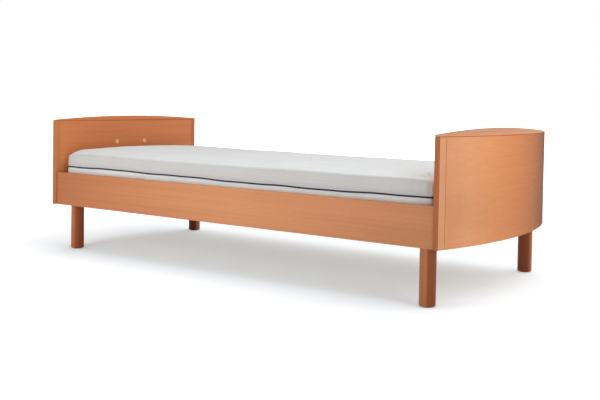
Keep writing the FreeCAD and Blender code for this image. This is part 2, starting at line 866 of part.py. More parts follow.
def across(name, radius, start, thick, side, x):
    """A round disc or pin standing along Y, from a distance out to a thickness more."""
    return rod(name, radius, thick, (x, side * (start + thick / 2), d.hinge_height), "Y")


def make_hinge(section_name, section):
    """Hinge pins fixed in the beams, and the flanged bushes that turn on them."""
    pins, bushes = [], []
    for side_name, side in SIDES.items():
        pin = f"{section_name}_hinge_pin_{side_name}"
        pins.append(pin_rod(pin, section, side, d.pin_radius, 0))
        bush = f"{section_name}_hinge_bush_{side_name}"
        flange_thick = d.bar_gap - 2 * d.fit_gap
        sleeve = across(f"{bush}_sleeve", bush_radius, bar_inside, d.bar_width, side, section.hinge)
        flange_radius = bush_radius + d.bush_wall
        flange = across(f"{bush}_flange", flange_radius, bar_outside, flange_thick, side, section.hinge)
        bore = pin_rod(f"{bush}_bore", section, side, d.pin_radius, d.pin_clearance)
        bushes.append(cut(bush, fuse(f"{bush}_blank", [sleeve, flange]), [bore]))
    node(f"{section_name}_hinge_pins", group(f"{section_name}_hinge_pins", pins))
    node(f"{section_name}_hinge_bushes", group(f"{section_name}_hinge_bushes", bushes))


def make_section_crossbars(section_name, section):
    """The two bars across a tilting section, one near its hinge and one near its end."""
    width = d.member_width
    low = d.hinge_height - d.bar_height / 2
    places = [section.hinge + section.way * d.first_crossbar, section.end - section.way * width / 2]
    bars = [
        crosswise(f"{section_name}_crossbar_{i}", x, low, d.bar_height, width, bar_inside)
        for i, x in enumerate(places)
    ]
    node(f"{section_name}_crossbars", group(f"{section_name}_crossbars", bars))


def make_prop_pin(name, side, x):
    """A shoulder pin fixed in a section bar, with a collar and a head either side of the prop arm."""
    face = arm_inside - d.fit_gap
    shank_length = bar_outside - face - d.arm_gap
    rim = d.arm_height / 2 - d.rail_round
    return fuse(name, [
        across(f"{name}_shank", d.prop_pin_radius, face, shank_length, side, x),
        across(f"{name}_collar", rim, arm_outside + d.fit_gap, d.arm_gap - d.fit_gap, side, x),
        across(f"{name}_head", rim, face - d.arm_gap, d.arm_gap, side, x),
    ])


def make_prop_arm(name, side, section):
    """One flat arm of a prop, round at both ends and bored for its pin."""
    pivot_x, bar_x = prop_pivot(section), bar_place(section, 0)
    middle = ((pivot_x + bar_x) / 2, side * (arm_inside + d.arm_thick / 2), d.hinge_height)
    flat = box(f"{name}_flat", middle, (section.prop, d.arm_thick, d.arm_height))
    round_end = across(f"{name}_end", d.arm_height / 2, arm_inside, d.arm_thick, side, pivot_x)
    bar_end = across(f"{name}_bar_end", d.arm_height / 2, arm_inside, d.arm_thick, side, bar_x)
    bore_radius = d.prop_pin_radius + d.pin_clearance
    bore = across(f"{name}_bore", bore_radius, arm_inside, d.arm_thick, side, pivot_x)
    return cut(name, fuse(f"{name}_blank", [flat, round_end, bar_end]), [bore])


def make_prop(section_name, section):
    """Two shoulder pins, and the fork that swings on them: two flat arms and the round bar between them."""
    name = f"{section_name}_prop"
    pins = [make_prop_pin(f"{name}_pin_{s}", side, prop_pivot(section)) for s, side in SIDES.items()]
    node(f"{name}_pins", group(f"{name}_pins", pins))
    arms = [make_prop_arm(f"{name}_arm_{s}", side, section) for s, side in SIDES.items()]
    bar_centre = (bar_place(section, 0), 0, d.hinge_height)
    bar = rod(f"{name}_bar", d.prop_bar_radius, 2 * arm_inside, bar_centre, "Y")
    node(name, group(name, arms + [bar]))


# ---------------------------------------------------------------- mattress


def fold_half(section, height):
    """Half the width of the fold above a hinge, at a height from the floor."""
    return (height - d.hinge_height) * turned("tan", section.tilt / 2)


def fold_faces(section, gap):
    """The two slanted sides of a fold as outline points, low and high, on the -X and +X side."""
    low, high = d.mattress_base, d.mattress_top
    left = [(section.hinge - fold_half(section, z) - gap, z) for z in (low, high)]
    right = [(section.hinge + fold_half(section, z) + gap, z) for z in (low, high)]
    return left, right


def make_mattress():
    """Three firm lengths of mattress and the two wedges of foam that fold between them."""
    low, high = d.mattress_base, d.mattress_top
    back_left, back_right = fold_faces(SECTIONS["back"], d.mattress_gap)
    foot_left, foot_right = fold_faces(SECTIONS["foot"], d.mattress_gap)
    outlines = {
        "mattress_back": [(d.mattress_head, low), back_left[0], back_left[1], (d.mattress_head, high)],
        "mattress_seat": [back_right[0], foot_left[0], foot_left[1], back_right[1]],
        "mattress_foot": [foot_right[0], (d.mattress_foot, low), (d.mattress_foot, high), foot_right[1]],
    }
    for section_name, section in SECTIONS.items():
        left, right = fold_faces(section, 0)
        outlines[f"mattress_{section_name}_fold"] = [left[0], right[0], right[1], left[1]]
    for name, points in outlines.items():
        body = prism(f"{name}_foam", "XZ_Plane", points, d.mattress_width)
        if name in ("mattress_back", "mattress_foot"):
            body = soften(name, body, d.mattress_corner, lambda edge: runs(edge, "z"))
        node(name, body)


# ---------------------------------------------------------------- assembly


def make_all():
    """Every sub-part of the bed."""
    for end_name, end in ENDS.items():
        for side_name, side in SIDES.items():
            make_post(end_name, end, side_name, side)
            make_leg(end_name, end, side_name, side)
        make_panel(end_name, end)
        make_shell(end_name, end)
        make_ribs(end_name, end)
        make_bottom(end_name, end)
        make_cap(end_name, end)
    make_pegs()
    for side_name, side in SIDES.items():
        make_rail(side_name, side)
        make_beam(side_name, side)
    make_ledges()
    make_corner_blocks()
    make_brackets()
    make_screws()
    make_leg_fittings()
    make_cross_members()
    for section_name, section in SECTIONS.items():
        make_racks(section_name, section)
        make_hinge(section_name, section)
        make_prop(section_name, section)
        make_section_crossbars(section_name, section)
        for side_name, side in SIDES.items():
            make_section_bar(section_name, section, side_name, side)
        first = section.hinge + section.way * d.slat_from_hinge
        last = section.end - section.way * d.slat_from_end
        make_slats(section_name, first, last, section.slats, bar_outside)
    seat_ends = d.back_hinge + d.slat_from_hinge, d.foot_hinge - d.slat_from_hinge
    make_slats("seat", *seat_ends, SEAT_SLATS, beam_outside)
    make_mattress()


def check_all():
    """Stops the script if any object failed or any sub-part has no sound shape."""
    for thing in doc.Objects:
        if {"Invalid", "Error"} & set(thing.State):
            raise RuntimeError(f"{thing.Name} failed: {thing.State}")
    for piece in nodes:
        if piece.Shape.isNull() or not piece.Shape.isValid() or not piece.Shape.Solids:
            raise RuntimeError(f"{piece.Label} has no sound shape")


def write_all():
    """Writes one STEP file for each sub-part."""
    os.makedirs("parts", exist_ok=True)
    for piece in nodes:
        piece.Shape.exportStep(f"parts/{piece.Label}.step")


make_all()
doc.recompute()
check_all()
write_all()
print(f"{len(nodes)} sub-parts written")
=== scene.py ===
import json
import math

import bmesh
import bpy
import numpy as np
from mathutils import Matrix, Vector, noise
from mathutils.bvhtree import BVHTree


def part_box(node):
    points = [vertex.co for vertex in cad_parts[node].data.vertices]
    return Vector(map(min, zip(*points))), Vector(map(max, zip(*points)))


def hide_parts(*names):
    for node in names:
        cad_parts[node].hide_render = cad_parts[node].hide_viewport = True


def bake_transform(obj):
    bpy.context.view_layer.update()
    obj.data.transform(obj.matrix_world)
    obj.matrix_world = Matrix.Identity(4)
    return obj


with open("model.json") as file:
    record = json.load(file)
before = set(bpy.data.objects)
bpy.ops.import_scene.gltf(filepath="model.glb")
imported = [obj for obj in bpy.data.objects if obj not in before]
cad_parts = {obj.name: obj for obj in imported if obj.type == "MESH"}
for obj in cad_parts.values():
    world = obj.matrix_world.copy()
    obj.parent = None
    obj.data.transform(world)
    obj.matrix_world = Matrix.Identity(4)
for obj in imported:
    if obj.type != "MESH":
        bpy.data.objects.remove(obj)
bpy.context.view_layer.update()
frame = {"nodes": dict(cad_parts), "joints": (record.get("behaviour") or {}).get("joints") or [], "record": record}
scene = bpy.context.scene

# ---------------------------------------------------------------- node helpers


def new_material(name):
    """A node material with its Principled shader."""
    material = bpy.data.materials.new(name)
    material.use_nodes = True
    return material, material.node_tree, material.node_tree.nodes["Principled BSDF"]


def add(tree, kind, **values):
    """A shader node with its properties and input values set."""
    made = tree.nodes.new(kind)
    for name, value in values.items():
        if hasattr(made, name):
            setattr(made, name, value)
        else:
            made.inputs[name].default_value = value
    return made


def link(tree, source, target):
    """Joins an output socket to an input socket."""
    tree.links.new(source, target)


def scaled_place(tree, scale):
    """The object's own coordinates, in metres, stretched by a scale on each axis."""
    place = add(tree, "ShaderNodeTexCoord")
    mapping = add(tree, "ShaderNodeMapping")
    mapping.inputs["Scale"].default_value = scale
    link(tree, place.outputs["Object"], mapping.inputs["Vector"])
    return mapping.outputs["Vector"]


def noise_at(tree, vector, scale, detail, roughness=0.5):
    """The factor of a noise texture."""
    made = add(tree, "ShaderNodeTexNoise", Scale=scale, Detail=detail, Roughness=roughness)
    link(tree, vector, made.inputs["Vector"])
    return made.outputs["Fac"]


def ramp(tree, factor, stops):
    """A colour or grey ramp from (position, colour) stops."""
    made = add(tree, "ShaderNodeValToRGB")
    band = made.color_ramp
    while len(band.elements) < len(stops):
        band.elements.new(0.5)
    for element, (position, colour) in zip(band.elements, stops):
        element.position = position
        element.color = (*colour, 1) if len(colour) == 3 else colour
    link(tree, factor, made.inputs["Fac"])
    return made.outputs["Color"]


def grey(level):
    """A grey as a colour."""
    return (level, level, level)


def mix(tree, blend, factor, first, second):
    """Two colours mixed; factor may be a number or a socket."""
    made = add(tree, "ShaderNodeMix", data_type="RGBA", blend_type=blend)
    for name, value in (("Factor", factor), ("A", first), ("B", second)):
        socket = made.inputs[name]
        if hasattr(value, "is_linked"):
            link(tree, value, socket)
        elif isinstance(value, (int, float)):
            socket.default_value = value
        else:
            socket.default_value = (*value, 1)
    return made.outputs["Result"]


def maths(tree, operation, first, second=None):
    """A maths node; its inputs may be numbers or sockets."""
    made = add(tree, "ShaderNodeMath", operation=operation)
    for socket, value in zip(made.inputs, (first, second)):
        if hasattr(value, "is_linked"):
            link(tree, value, socket)
        elif value is not None:
            socket.default_value = value
    return made.outputs["Value"]


def bump(tree, height, strength, distance):
    """A bump of a height socket."""
    made = add(tree, "ShaderNodeBump", Strength=strength, Distance=distance)
    link(tree, height, made.inputs["Height"])
    return made.outputs["Normal"]


# ---------------------------------------------------------------- camera, floor and light

CAMERA_PLACE = Vector((2.5685, -3.4396, 0.7476))
CAMERA_YAW = math.radians(35.92)
CAMERA_DOWN = math.radians(2.128)
CAMERA_ROLL = math.radians(0.964)
CAMERA_LENS = 55.42
CAMERA_SHIFT = -0.1108

FLOOR_SIZE = 80
FLOOR_ALBEDO = 0.9
FLOOR_REACH = 4.5
FLOOR_GLOW = [(0.3, (0.21, 0.26, 0.305)), (1.0, grey(1.0))]
# The surroundings: brightness by height, and by how nearly the back wall or the dark corner is faced.
CEILING_FALL = [(0.14, grey(1.0)), (0.32, grey(0.66))]
BACK_WALL = (-0.588, 0.809, 0.0)
BACK_RISE = [(0.70, grey(0.6)), (0.90, grey(1.0))]
DARK_CORNER = (0.643, 0.766, 0.0)
CORNER_FALL = [(0.60, grey(1.0)), (0.75, grey(0.35))]
SKY_PLACE = (0.5, 0.95, 2.0)
SKY_STRENGTH = 1.75
SKY_SPREAD = 85
# Each softbox: its place, the point that it is aimed at, its width, height and power.
SOFTBOXES = {
    "front": ((-0.45, -2.2, 0.9), (-0.35, 0, 0.25), 0.9, 0.7, 11),
    "foot_end": ((2.8, -1.0, 1.1), (1.1, -0.2, 0.45), 0.8, 0.8, 8.5),
}


def make_camera():
    """A camera at three quarters from the foot end, low and nearly level, with its frame shifted down."""
    data = bpy.data.cameras.new("camera")
    data.sensor_width = 36
    data.lens = CAMERA_LENS
    data.shift_y = CAMERA_SHIFT
    camera = bpy.data.objects.new("camera", data)
    scene.collection.objects.link(camera)
    turn = Matrix.Rotation(CAMERA_YAW, 4, "Z")
    tip = Matrix.Rotation(math.pi / 2 - CAMERA_DOWN, 4, "X")
    roll = Matrix.Rotation(CAMERA_ROLL, 4, "Z")
    camera.matrix_world = Matrix.Translation(CAMERA_PLACE) @ turn @ tip @ roll
    scene.camera = camera


def make_floor():
    """A white floor that glows, more so away from the bed, so that the bed's shadow stays pale and grey."""
    bpy.ops.mesh.primitive_plane_add(size=FLOOR_SIZE, location=(0, 0, 0))
    floor = bpy.context.active_object
    floor.name = "floor"
    material, tree, shader = new_material("floor_white")
    shader.inputs["Base Color"].default_value = (*grey(FLOOR_ALBEDO), 1)
    shader.inputs["Roughness"].default_value = 1.0
    shader.inputs["Specular IOR Level"].default_value = 0.0
    place = add(tree, "ShaderNodeTexCoord")
    away = add(tree, "ShaderNodeVectorMath", operation="LENGTH")
    link(tree, place.outputs["Object"], away.inputs[0])
    reach = maths(tree, "DIVIDE", away.outputs["Value"], FLOOR_REACH)
    link(tree, ramp(tree, reach, FLOOR_GLOW), shader.inputs["Emission Color"])
    shader.inputs["Emission Strength"].default_value = 1.0
    floor.data.materials.append(material)


def aim(light, place, target):
    """Places a light and turns it to a point."""
    light.location = place
    light.rotation_euler = (Vector(target) - Vector(place)).to_track_quat("-Z", "Y").to_euler()
    light.visible_camera = False
    scene.collection.objects.link(light)


def make_softbox(name, place, target, width, height, power):
    """A rectangular area light aimed at a point."""
    data = bpy.data.lights.new(name, "AREA")
    data.shape = "RECTANGLE"
    data.size = width
    data.size_y = height
    data.energy = power
    aim(bpy.data.objects.new(name, data), place, target)


def make_sky(name, place, strength, spread):
    """A wide even light from one direction, with soft shadows."""
    data = bpy.data.lights.new(name, "SUN")
    data.energy = strength
    data.angle = math.radians(spread)
    aim(bpy.data.objects.new(name, data), place, (0, 0, 0))


def make_world():
    """A white wall behind the bed, dimmer ones and a dim ceiling elsewhere, and a dark corner."""
    world = bpy.data.worlds.new("white_studio")
    scene.world = world
    world.use_nodes = True
    tree = world.node_tree
    place = add(tree, "ShaderNodeTexCoord")
    parts = add(tree, "ShaderNodeSeparateXYZ")
    link(tree, place.outputs["Generated"], parts.inputs["Vector"])
    walls = ramp(tree, parts.outputs["Z"], CEILING_FALL)
    back = ramp(tree, toward(tree, place, BACK_WALL), BACK_RISE)
    corner = ramp(tree, toward(tree, place, DARK_CORNER), CORNER_FALL)
    round_about = mix(tree, "MULTIPLY", 1.0, back, corner)
    link(tree, mix(tree, "MULTIPLY", 1.0, walls, round_about), tree.nodes["Background"].inputs["Color"])
    tree.nodes["Background"].inputs["Strength"].default_value = 1.0


def toward(tree, place, way):
    """How nearly the world's direction is a given one, up to 1."""
    made = add(tree, "ShaderNodeVectorMath", operation="DOT_PRODUCT")
    made.inputs[1].default_value = way
    link(tree, place.outputs["Generated"], made.inputs[0])
    return made.outputs["Value"]


def make_light():
    """A wide light from above, and two softboxes low at the front and at the foot end."""
    make_world()
    make_sky("above", SKY_PLACE, SKY_STRENGTH, SKY_SPREAD)
    for name, (place, target, width, height, power) in SOFTBOXES.items():
        make_softbox(name, place, target, width, height, power)
    scene.view_settings.view_transform = "Standard"
    scene.view_settings.look = "None"


# ---------------------------------------------------------------- materials


def tone(red, green, blue):
    """A display colour, 0 to 255, as linear light."""
    levels = [c / 255 for c in (red, green, blue)]
    return tuple(c / 12.92 if c <= 0.04045 else ((c + 0.055) / 1.055) ** 2.4 for c in levels)


def shade(colour, factor):
    """A colour made lighter or darker."""
    return tuple(min(1, c * factor) for c in colour)


def tinted(colour, factors):
    """A colour with its red, green and blue each made lighter or darker."""
    return tuple(c * f for c, f in zip(colour, factors))


def along_grain(grain, along, across):
    """Scales for each axis of a wood texture whose grain runs along one axis."""
    return tuple(along if axis == grain else across for axis in "XYZ")


def make_wood(name, grain, colour, gloss=0.42, coat=0.03, fleck=1.0, streak=1.0, shine=0.16, **painted_light_and_joint):
    """Beech: soft tone bands and fine pores along the grain, with short ray flecks, under a satin lacquer.

    Over it go the painted shade, the painted light falloff along X and the dark joint line given by the keywords.
    """
    material, tree, shader = new_material(name)
    broad = noise_at(tree, scaled_place(tree, along_grain(grain, 0.8, 6.0)), 1.0, detail=2)
    bands = noise_at(tree, scaled_place(tree, along_grain(grain, 1.2, 95.0)), 1.0, detail=4, roughness=0.55)
    pores = noise_at(tree, scaled_place(tree, along_grain(grain, 30.0, 900.0)), 1.0, detail=2)
    rays = noise_at(tree, scaled_place(tree, along_grain(grain, 120.0, 700.0)), 1.0, detail=1)
    base = ramp(tree, broad, [(0.3, shade(colour, 0.94)), (0.7, shade(colour, 1.06))])
    deep, pale = (1 - 0.07 * streak, 1 - 0.09 * streak, 1 - 0.11 * streak), (1.03, 1.05, 1.07)
    band_tone = ramp(tree, bands, [(0.3, deep), (0.5, grey(1.0)), (0.72, pale)])
    pore_tone = ramp(tree, pores, [(0.35, grey(1 - 0.05 * streak)), (0.65, grey(1.03))])
    ray_tone = ramp(tree, rays, [(0.62, grey(1.0)), (0.74, grey(1.0 - 0.2 * fleck))])
    mixed = mix(tree, "MULTIPLY", 1.0, base, band_tone)
    mixed = mix(tree, "MULTIPLY", 1.0, mixed, pore_tone)
    mixed = mix(tree, "MULTIPLY", 1.0, mixed, ray_tone)
    mixed = paint_light_and_joint(tree, mixed, **painted_light_and_joint)
    link(tree, mixed, shader.inputs["Base Color"])
    rough = ramp(tree, bands, [(0.3, grey(gloss + 0.06)), (0.7, grey(gloss - 0.03))])
    link(tree, rough, shader.inputs["Roughness"])
    link(tree, bump(tree, pores, 0.12, 0.0004), shader.inputs["Normal"])
    shader.inputs["Coat Weight"].default_value = coat
    shader.inputs["Coat Roughness"].default_value = 0.25
    shader.inputs["Specular IOR Level"].default_value = shine
    return material


def paint_light_and_joint(tree, colour, painted_shade_side=None, joint=None, along=None):
    """Painted shade, painted light falloff and a dark joint line laid over a colour.

    The painted shade is a direction, whether to take faces as they really are, and stops of how dark a
    face is painted by its share of that direction. A joint is the height of a dark joint line. Along holds
    stops of the painted light falloff from the head end of the bed to its foot end.
    """
    if painted_shade_side:
        way, flat, stops = painted_shade_side
        colour = mix(tree, "MULTIPLY", 1.0, colour, ramp(tree, facing(tree, way, flat), stops))
    if along:
        colour = mix(tree, "MULTIPLY", 1.0, colour, painted_falloff_along_x(tree, along))
    if joint:
        parts = add(tree, "ShaderNodeSeparateXYZ")
        link(tree, scaled_place(tree, (1, 1, 1)), parts.inputs["Vector"])
        edge = [(joint + JOINT_LINE, JOINT_TONE), (joint + 2 * JOINT_LINE, grey(1.0))]
        colour = mix(tree, "MULTIPLY", 1.0, colour, ramp(tree, parts.outputs["Z"], edge))
    return colour


def painted_falloff_along_x(tree, stops):
    """Painted light falloff along X, from stops of X and colour."""
    run = add(tree, "ShaderNodeSeparateXYZ")
    link(tree, scaled_place(tree, (RUN_SCALE, 1, 1)), run.inputs["Vector"])
    return ramp(tree, maths(tree, "ADD", run.outputs["X"], 0.5), [(0.5 + RUN_SCALE * x, c) for x, c in stops])


def facing(tree, way, flat=False):
    """How nearly a face looks along a direction, up to 1, by its smooth shading or as it really is."""
    made = add(tree, "ShaderNodeVectorMath", operation="DOT_PRODUCT")
    made.inputs[1].default_value = way
    if flat:
        link(tree, add(tree, "ShaderNodeNewGeometry").outputs["True Normal"], made.inputs[0])
    else:
        link(tree, add(tree, "ShaderNodeTexCoord").outputs["Normal"], made.inputs[0])
    return made.outputs["Value"]


def make_steel(name, colour, rough):
    """Zinc plated steel with a fine uneven sheen."""
    material, tree, shader = new_material(name)
    spots = noise_at(tree, scaled_place(tree, (60, 60, 60)), 1.0, detail=4)
    base = ramp(tree, spots, [(0.3, shade(colour, 0.85)), (0.7, colour)])
    link(tree, base, shader.inputs["Base Color"])
    link(tree, ramp(tree, spots, [(0.3, grey(rough + 0.1)), (0.7, grey(rough))]), shader.inputs["Roughness"])
    shader.inputs["Metallic"].default_value = 1.0
    return material


def make_moulded(name, colour, rough):
    """Moulded plastic or pressed felt with a fine grain."""
    material, tree, shader = new_material(name)
    grain = noise_at(tree, scaled_place(tree, (1, 1, 1)), 900.0, detail=2)
    cloud = noise_at(tree, scaled_place(tree, (1, 1, 1)), 25.0, detail=3)
    base = ramp(tree, cloud, [(0.3, shade(colour, 0.9)), (0.7, shade(colour, 1.1))])
    link(tree, base, shader.inputs["Base Color"])
    link(tree, bump(tree, grain, 0.25, 0.0003), shader.inputs["Normal"])
    shader.inputs["Roughness"].default_value = rough
    return material


COVER = tone(236, 238, 237)
KNIT_RIB = 0.0022
# Painted light on the cover: painted falloff along X on its top, painted shade on its border above the piping,
# painted light on the border below it against the rail's shade, and where that changes.
TOP_PAINTED_FALLOFF = [(-0.95, (0.80, 0.80, 0.80)), (-0.1, (0.93, 0.93, 0.93)), (0.6, (1.0, 1.0, 1.01))]
BORDER_PAINTED_SHADE = (0.65, 0.63, 0.61)
LOWER_PAINTED_LIGHT = (0.90, 0.88, 0.86)
BORDER_STEP = [(0.394, (0, 0, 0)), (0.400, (1, 1, 1))]


def make_knit(name):
    """White knitted ticking: fine ribs of stitches with a soft uneven tone, painted shade on the border above the
    piping, painted light below it and painted falloff along the top.
    """
    material, tree, shader = new_material(name)
    place = scaled_place(tree, (1, 1, 1))
    along = add(tree, "ShaderNodeTexWave", wave_type="BANDS", bands_direction="X", Scale=1 / KNIT_RIB / 2)
    cross = add(tree, "ShaderNodeTexWave", wave_type="BANDS", bands_direction="Y", Scale=1 / KNIT_RIB / 3)
    link(tree, place, along.inputs["Vector"])
    link(tree, place, cross.inputs["Vector"])
    weave = maths(tree, "MULTIPLY", along.outputs["Fac"], cross.outputs["Fac"])
    fuzz = noise_at(tree, place, 1400.0, detail=2)
    height = maths(tree, "ADD", weave, maths(tree, "MULTIPLY", fuzz, 0.6))
    cloud = noise_at(tree, place, 7.0, detail=4, roughness=0.6)
    base = ramp(tree, cloud, [(0.3, shade(COVER, 0.965)), (0.7, shade(COVER, 1.02))])
    fine = ramp(tree, height, [(0.1, grey(0.94)), (0.9, grey(1.03))])
    mixed = mix(tree, "MULTIPLY", 1.0, base, fine)
    # Painted shade on the upright border, painted falloff along X on the top, and painted light below the piping.
    upright = maths(tree, "ABSOLUTE", facing(tree, (0, 1, 0)))
    on_side = ramp(tree, upright, [(0.35, grey(0)), (0.8, grey(1))])
    side = mix(tree, "MIX", on_side, painted_falloff_along_x(tree, TOP_PAINTED_FALLOFF), BORDER_PAINTED_SHADE)
    level = add(tree, "ShaderNodeAttribute", attribute_name="height").outputs["Fac"]
    above = ramp(tree, level, BORDER_STEP)
    side = mix(tree, "MIX", above, LOWER_PAINTED_LIGHT, side)
    link(tree, mix(tree, "MULTIPLY", 1.0, mixed, side), shader.inputs["Base Color"])
    link(tree, bump(tree, height, 0.35, 0.0005), shader.inputs["Normal"])
    shader.inputs["Roughness"].default_value = 0.92
    shader.inputs["Sheen Weight"].default_value = 0.15
    shader.inputs["Sheen Roughness"].default_value = 0.5
    shader.inputs["Specular IOR Level"].default_value = 0.2
    return material


NAVY = tone(46, 44, 72)


def make_braid(name):
    """Dark blue piping of fine twisted yarn."""
    material, tree, shader = new_material(name)
    place = scaled_place(tree, (1, 1, 1))
    twist = add(tree, "ShaderNodeTexWave", wave_type="BANDS", bands_direction="DIAGONAL", Scale=420.0)
    link(tree, place, twist.inputs["Vector"])
    fuzz = noise_at(tree, place, 900.0, detail=2)
    height = maths(tree, "ADD", twist.outputs["Fac"], maths(tree, "MULTIPLY", fuzz, 0.5))
    base = ramp(tree, height, [(0.2, shade(NAVY, 0.7)), (1.0, shade(NAVY, 1.25))])
    link(tree, base, shader.inputs["Base Color"])
    link(tree, bump(tree, height, 0.5, 0.0004), shader.inputs["Normal"])
    shader.inputs["Roughness"].default_value = 0.85
    shader.inputs["Sheen Weight"].default_value = 0.2
    shader.inputs["Specular IOR Level"].default_value = 0.2
    return material


BEECH = tone(212, 142, 98)
# Lit and shaded copies of the stained beech by place and kind: painted shade darkens the headboard, the head
# posts, the rails and the legs; the foot pieces get slight tints.
PLACE_SHADE_AND_TINT = {"head": (1.0, 0.80, 0.64), "rail": (0.905, 0.915, 0.856), "foot": (0.96, 0.95, 0.93)}
KIND_SHADE_AND_TINT = {
    "leg": (0.62, 0.52, 0.44),
    ("head", "post"): (0.78, 0.69, 0.56),
    ("foot", "post"): (0.92, 1.035, 1.16),
    ("foot", "shell"): (0.96, 1.026, 1.097),
}
# Each sheen: gloss, coat, streak and shine.
PLAIN_SHEEN = (0.42, 0.03, 1.0, 0.16)
KIND_SHEEN = {
    "cap": (0.45, 0.05, 1.0, 0.08),
    "shell": (0.55, 0.0, 0.45, 0.03),
    "post": (0.5, 0.0, 1.0, 0.08),
}
STAINED_FLECK = 0.7
JOINT_LINE = 0.0015
JOINT_TONE = (0.34, 0.28, 0.24)
# Painted shade on sides turned from the light: of the head and foot end strips, the shells and the near and far
# legs.
STRIP_PAINTED_SHADE = ((0.80, 0.76, 0.80), (0.58, 0.415, 0.30))
SHELL_TURN = 0.3
SHELL_PAINTED_SHADE = [
    (0.00, (0.87, 0.88, 0.91)),
    (0.08, (0.97, 1.00, 1.00)),
    (0.19, (0.96, 0.89, 0.78)),
    (0.32, (0.85, 0.73, 0.62)),
    (0.42, (0.69, 0.58, 0.50)),
    (0.48, (0.54, 0.44, 0.39)),
    (0.56, (0.30, 0.25, 0.23)),
]
LEG_PAINTED_SHADE = [(0.25, (1, 1, 1)), (0.5, (0.66, 0.50, 0.40)), (1.0, (0.54, 0.38, 0.26))]
FAR_LEG_PAINTED_SHADE = {"head": (0.24, 0.15, 0.11), "foot": (0.42, 0.30, 0.22)}
FAR_LEG_TURN = 0.15
# Painted light falloff on the rails along X: darker towards both ends, darkest at the head end.
RAIL_PAINTED_FALLOFF = [
    (-1.03, (0.70, 0.55, 0.42)),
    (-0.75, (0.83, 0.71, 0.64)),
    (-0.25, (0.94, 0.89, 0.90)),
    (0.10, (1.0, 1.0, 1.0)),
    (0.55, (0.92, 0.88, 0.91)),
    (1.03, (0.79, 0.76, 0.80)),
]
RUN_SCALE = 0.4
GRAIN_ALONG_X = ("side_rail_near", "side_rail_far", "ledges", "base_beam_near", "base_beam_far")
GRAIN_UPRIGHT = ("post", "leg_head", "leg_foot", "ribs")


def grain_of(node):
    """The axis that a wooden node's grain runs along."""
    if node in GRAIN_ALONG_X or "_bar_" in node:
        return "X"
    if any(word in node for word in GRAIN_UPRIGHT):
        return "Z"
    return "Y"


def paint_nodes():
    """Gives every CAD node the material of its slot, with the grain the right way."""
    slots = {s["node"]: s["material_slot"] for s in frame["record"]["subparts"]}
    for name, piece in frame["nodes"].items():
        piece.data.materials.clear()
        piece.data.materials.append(MATERIALS[slots[name]](f"{name}_{slots[name]}", grain_of(name), name))


def painted_shade_side_of(node, kind):
    """The painted shade of a node: its side painted darker where shade falls, if it has one."""
    low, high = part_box(node)
    side, end = (math.copysign(1, low[k] + high[k]) for k in (1, 0))
    if kind == "post":
        return (0, side, 0), True, [(0.6, grey(1.0)), (0.9, STRIP_PAINTED_SHADE[end > 0])]
    if kind == "shell":
        return (SHELL_TURN * end, 1, 0), False, SHELL_PAINTED_SHADE
    if kind == "leg" and side < 0:
        return (1, 0, 0), False, LEG_PAINTED_SHADE
    if kind == "leg":
        shadow = FAR_LEG_PAINTED_SHADE["foot" if end > 0 else "head"]
        return (-FAR_LEG_TURN, -1, 0), False, [(0.0, grey(1.0)), (0.55, shadow)]
    return None


def make_stained(name, grain, node):
    """The stained beech of boards, rails, end strips and turned legs, in lit and shaded copies with painted shade
    and painted light falloff over them.
    """
    kind = next((kind for kind in ("post", "cap", "shell", "leg") if kind in node.split("_")), "board")
    place = next((place for place in ("rail", "head") if place in node.split("_")), "foot")
    colour = tinted(BEECH, KIND_SHADE_AND_TINT.get((place, kind)) or KIND_SHADE_AND_TINT.get(kind) or PLACE_SHADE_AND_TINT[place])
    gloss, coat, streak, shine = KIND_SHEEN.get(kind, PLAIN_SHEEN)
    # Painted shade on sides turned from the light, painted light falloff along the rails, and the caps' dark joint
    # line.
    painted_light_and_joint = {
        "painted_shade_side": painted_shade_side_of(node, kind),
        "joint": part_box(node)[0][2] if kind == "cap" else None,
        "along": RAIL_PAINTED_FALLOFF if place == "rail" else None,
    }
    return make_wood(name, grain, colour, gloss, coat, STAINED_FLECK, streak, shine, **painted_light_and_joint)


MATERIALS = {
    "stained_beech": make_stained,
    "peg_beech": lambda name, *_: make_wood(name, "Y", tone(250, 188, 140)),
    "frame_wood": lambda name, grain, _: make_wood(name, grain, tone(214, 182, 138), 0.6, 0.0, 0.3),
    "slat_veneer": lambda name, grain, _: make_wood(name, grain, tone(222, 196, 156), 0.42, 0.2, 0.5),
    "zinc_steel": lambda name, *_: make_steel(name, tone(196, 198, 202), 0.3),
    "holder_plastic": lambda name, *_: make_moulded(name, tone(38, 38, 42), 0.5),
    "bush_plastic": lambda name, *_: make_moulded(name, tone(226, 222, 210), 0.4),
    "glide_felt": lambda name, *_: make_moulded(name, tone(92, 80, 70), 0.95),
    "mattress_cover": lambda name, *_: make_knit(name),
}

# ---------------------------------------------------------------- mattress

HEAD_NODES = ("mattress_back", "mattress_back_fold", "mattress_seat")
FOOT_NODES = ("mattress_foot", "mattress_foot_fold")
CORNER_ROUND = 0.014
TOP_ROUND = 0.021
BASE_ROUND = 0.012
VOXEL = 0.012
START_SIDE = 0.001
START_TOP = 0.007
SWELL_CAP = 0.012
DRAWN_IN = 0.15
PRESSURE = 4.0
SLACK = 0.015
FRAMES = 20
CUT_X = -0.025

PIPING_HEIGHT = 0.072
PIPING_WAVE = 0.0035
WAVE_CREST = -0.75
WAVE_LENGTH = 2.2
# Ripples of the piping: their height, their turn for each metre of X and of Y, and where they start.
PIPING_RIPPLES = ((0.0011, 13, 5, 0.0), (0.0006, 29, -9, 1.0))
PIPING_RADIUS = 0.0034
PIPING_SUNK = 0.0006
PIPING_STEP = 0.008
PIPING_SEARCH = 0.05
SEAM_DEPTH = 0.0035
SEAM_WIDTH = 0.008

